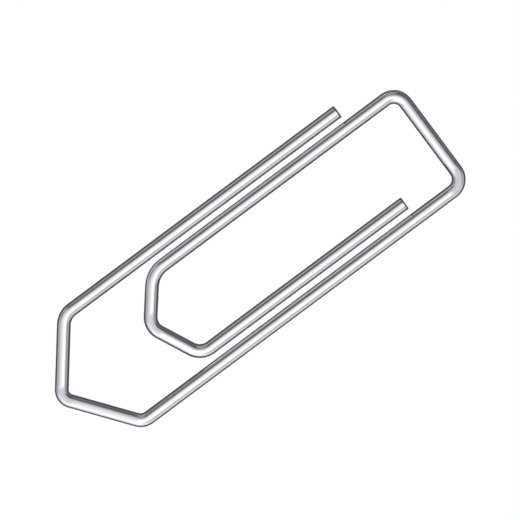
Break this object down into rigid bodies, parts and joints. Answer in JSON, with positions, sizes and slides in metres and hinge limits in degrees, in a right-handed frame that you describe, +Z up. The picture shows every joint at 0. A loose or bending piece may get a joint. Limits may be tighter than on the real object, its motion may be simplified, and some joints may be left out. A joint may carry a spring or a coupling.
{
  "type": "paper clip",
  "caption": "Flat pointed paper clip of bright plated round wire: an outer loop with a pointed nose, nested inner loop with a tongue, and a square end, springing open to grip sheets.",
  "frame": {"origin": "under the middle of the clip's outline, on the surface that the clip lies on", "axes": "+X along the legs towards the square end, +Y across the legs towards the outer leg, +Z up out of the clip's flat face"},
  "size_m": [0.033, 0.0104, 0.001],
  "materials": {
    "plated_wire": "bright nickel plating over drawn steel wire, mirror-like, with faint drawing lines along the wire"
  },
  "bodies": {
    "outer_loop": {"outer_loop": "plated_wire"},
    "inner_loop": {"inner_loop": "plated_wire"},
    "outer_leg": {"outer_leg": "plated_wire"},
    "tongue": {"tongue": "plated_wire"}
  },
  "joints": [
    {"name": "loop_opening", "type": "hinge", "parent": "outer_loop", "child": "inner_loop", "pos_m": [0.016, -0.00068, 0.0005], "axis": [0, 1, 0], "range_deg": [-10, 10], "stiffness_Nm_per_rad": 0.37},
    {"name": "outer_leg_lift", "type": "hinge", "parent": "outer_loop", "child": "outer_leg", "pos_m": [-0.01437, 0.00241, 0.0005], "axis": [-0.6226, -0.7825, 0], "range_deg": [-9, 9], "stiffness_Nm_per_rad": 0.45},
    {"name": "tongue_lift", "type": "hinge", "parent": "inner_loop", "child": "tongue", "pos_m": [-0.00724, -0.00148, 0.0005], "axis": [0.4263, -0.9046, 0], "range_deg": [-6, 6], "stiffness_Nm_per_rad": 0.5}
  ]
}
